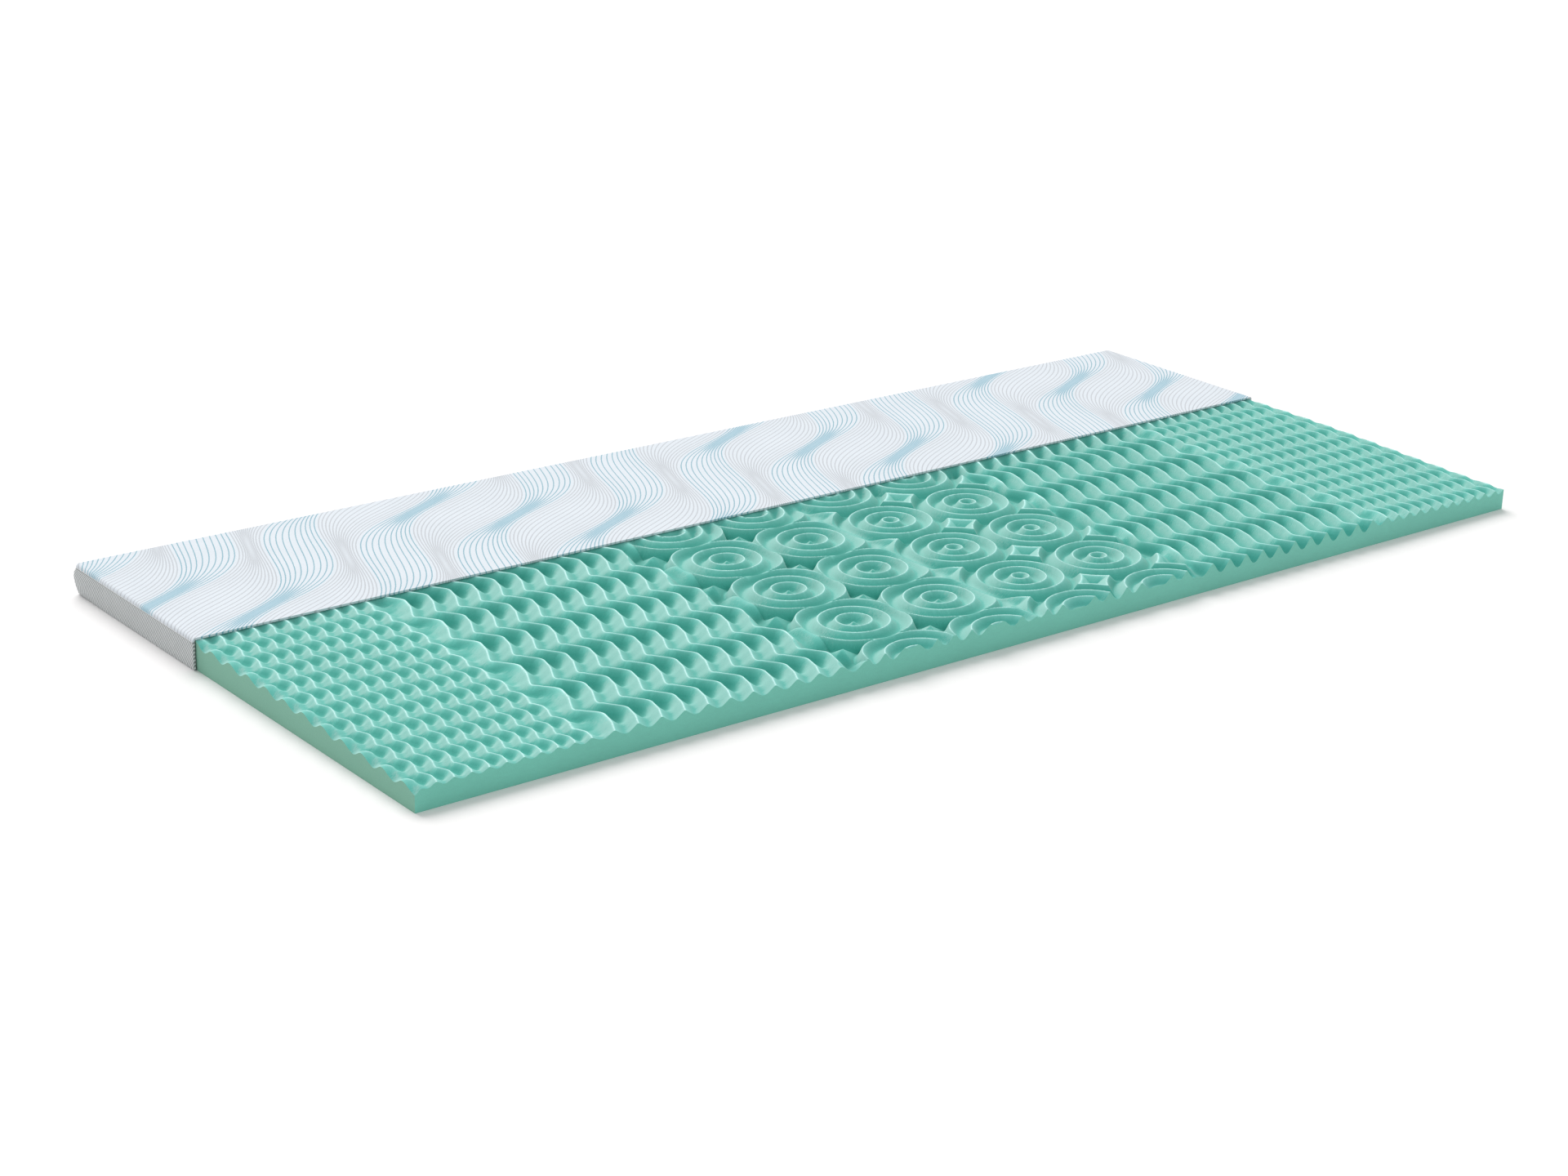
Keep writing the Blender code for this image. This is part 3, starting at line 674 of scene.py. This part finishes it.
band_columns = ceil((BAND_LENGTH + 2 * SPARE) / RIB_PITCH * RIB_POINTS)
bpy.ops.mesh.primitive_grid_add(x_subdivisions=band_columns, y_subdivisions=BAND_ROWS, size=1)
side_band = bpy.context.object
side_band.name = side_band.data.name = "ribbed_side_band"
share_x, share_y = grid_shares(side_band)
height = share_y * band_top
run = -SPARE + share_x * (BAND_LENGTH + 2 * SPARE)
rib = 0.5 + 0.5 * np.cos(2 * pi * run / RIB_PITCH)
rib_number = run / RIB_PITCH
run = run - RIB_LEAN * (height - band_top / 2)
rib_fade = smooth_step(height / HEM) * smooth_step((band_top - height) / HEM)
outward = -RIB_HEIGHT * (1 - rib * rib_fade)
x, y, turn = round_the_cover(run, outward)
from_corner = np.hypot(np.abs(x) - slab_high.x, y - slab_high.y)
share = smooth_step(1 - from_corner / CORNER_REACH)
swell = np.interp(height, *np.array(CORNER_SWELL).T) * share / 2 ** 0.5
x, y = x + np.sign(x) * swell, y + swell
tuck = HEM_TUCK * smooth_step(1 - height / HEM)
place_points(side_band, x - tuck * np.cos(turn), y - tuck * np.sin(turn), height)
store_map(side_band, "rib_run", rib_number, height)

bpy.ops.object.mode_set(mode="EDIT")
bpy.ops.mesh.select_all(action="SELECT")
bpy.ops.mesh.bisect(plane_co=(0, CUT, 0), plane_no=(0, 1, 0), clear_inner=True)
bpy.ops.mesh.select_all(action="SELECT")
bpy.ops.mesh.normals_make_consistent(inside=False)
bpy.ops.object.mode_set(mode="OBJECT")
middle = max(side_band.data.polygons, key=lambda face: face.center.y)
if middle.normal.y < 0:
    side_band.data.flip_normals()
apply_modifier(side_band, "SOLIDIFY", thickness=CLOTH, offset=-1, use_even_offset=True)
bpy.ops.object.shade_smooth_by_angle(angle=radians(50))

BAND_COLOURS = (0.600, 0.630, 0.635), (0.670, 0.695, 0.700)
GROOVE_SHADE_COLOUR, SEAM_SHADOW = (0.260, 0.285, 0.290), (0.180, 0.200, 0.205)

band = Finish("ribbed_knit", roughness=0.85, sheen=0.25)
place = band.object_place()
knit = band.add("ShaderNodeTexVoronoi", {"Vector": place, "Scale": 1100}).outputs["Distance"]
cloud = band.noise(place, 30, 2, 0.5)
colour = band.mix(cloud, *BAND_COLOURS)
rib_number, height = band.stored("rib_run")
rib = band.math("COSINE", band.math("MULTIPLY", rib_number, 2 * pi))
# Painted shade: the grooves between the ribs are painted darker, and a painted shadow darkens the
# band just below the seam.
colour = band.mix(band.step(rib, 0.3, -0.8), colour, GROOVE_SHADE_COLOUR)
under_seam = band.step(height, band_top - 0.0022, band_top - 0.0008)
colour = band.mix(band.math("MULTIPLY", under_seam, 0.6), colour, SEAM_SHADOW)
colour = band.toned(colour, band.math("ADD", band.math("MULTIPLY", knit, 0.20), 0.90))
band.paint(colour, band.bump(knit, 0.0003, 0.5), side_band)

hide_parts("cover_band")
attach(side_band, "root")


# ---- seam -------------------------------------------------------------------------------
# A chain of small stitches in white thread, sewn round the left end, the back and the right
# end. It holds the top panel's rim to the upper edge of the side band.

STITCH_LENGTH, STITCH_PITCH, STITCH_WIDTH = 0.0030, 0.0034, 0.0011
STITCH_SLANT, STITCH_FLATNESS, STITCH_LIFT = 0.18, 0.8, 0.00015
stitch_count = int(BAND_LENGTH / STITCH_PITCH)
bpy.ops.mesh.primitive_uv_sphere_add(segments=8, ring_count=4, radius=0.5)
seam = bpy.context.object
seam.name = seam.data.name = "seam_stitches"
apply_modifier(
    seam, "ARRAY", count=stitch_count, use_relative_offset=False, use_constant_offset=True,
    constant_offset_displace=(2.0, 0, 0)
)
bead_x, bead_y, bead_z = points_of(seam)
which = np.floor((bead_x + 1) / 2)
bead_x = (bead_x - 2 * which) * STITCH_LENGTH
bead_z = bead_z * STITCH_WIDTH + bead_x * STITCH_SLANT
run = (which + 0.5) * STITCH_PITCH + bead_x
x, y, _ = round_the_cover(run, bead_y * STITCH_WIDTH * STITCH_FLATNESS)
place_points(seam, x, y, band_top + STITCH_LIFT + bead_z)
bpy.ops.object.mode_set(mode="EDIT")
bpy.ops.mesh.select_all(action="SELECT")
bpy.ops.mesh.normals_make_consistent(inside=False)
bpy.ops.object.mode_set(mode="OBJECT")
bpy.ops.object.shade_smooth()

thread = Finish("white_thread", roughness=0.6, sheen=0.2)
twist = thread.noise(thread.object_place(), 900, 2, 0.5)
colour = thread.mix(twist, (0.720, 0.740, 0.740), (0.860, 0.875, 0.880))
thread.paint(colour, thread.bump(twist, 0.0002, 0.5), seam)
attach(seam, "root")


# ---- floor, light and camera ------------------------------------------------------------
# A plain pale studio: a white floor, even light from all round, a large soft light behind
# the slab and high up, and the camera in front of the slab's left corner.

FLOOR_COLOURS = (0.862, 0.850, 0.848), (0.872, 0.860, 0.858)
ROUND_LIGHT, KEY_LIGHT, KEY_SPREAD, KEY_FROM = 0.65, 2.45, radians(44), (0.16, 0.80, 0.88)
LENS, SENSOR = 67.70, 36  # millimetres
CAMERA_FROM_CORNER = (-1.6477, -2.7611, 1.4819)
CAMERA_DOWN, CAMERA_TURN, CAMERA_ROLL = 20.384, -38.536, 1.480  # degrees

bpy.ops.mesh.primitive_plane_add(size=60, location=(0, 0, 0))
floor = bpy.context.object
floor.name = "floor"
ground = Finish("pale_floor", roughness=0.9)
grain = ground.noise(ground.object_place(), 3, 2, 0.5)
ground.paint(ground.mix(grain, *FLOOR_COLOURS), ground.bump(grain, 0.0001, 0.1), floor)

world = bpy.data.worlds.new("studio")
world.use_nodes = True
world.node_tree.nodes["Background"].inputs["Color"].default_value = (1, 1, 1, 1)
world.node_tree.nodes["Background"].inputs["Strength"].default_value = ROUND_LIGHT
bpy.context.scene.world = world

lamp = bpy.data.lights.new("key", "SUN")
lamp.energy = KEY_LIGHT
lamp.angle = KEY_SPREAD
key = bpy.data.objects.new("key", lamp)
bpy.context.scene.collection.objects.link(key)
key.rotation_euler = Vector(KEY_FROM).to_track_quat("Z", "Y").to_euler()

lens = bpy.data.cameras.new("camera")
lens.sensor_width = SENSOR
lens.lens = LENS
camera = bpy.data.objects.new("camera", lens)
bpy.context.scene.collection.objects.link(camera)
facing = Euler((radians(90 - CAMERA_DOWN), 0, radians(CAMERA_TURN))).to_matrix()
facing = facing @ Matrix.Rotation(radians(CAMERA_ROLL), 3, "Z")
camera.matrix_world = Matrix.Translation((
    slab_low.x + CAMERA_FROM_CORNER[0], slab_low.y + CAMERA_FROM_CORNER[1], CAMERA_FROM_CORNER[2]
)) @ facing.to_4x4()
bpy.context.scene.camera = camera
bpy.context.scene.view_settings.view_transform = "Standard"
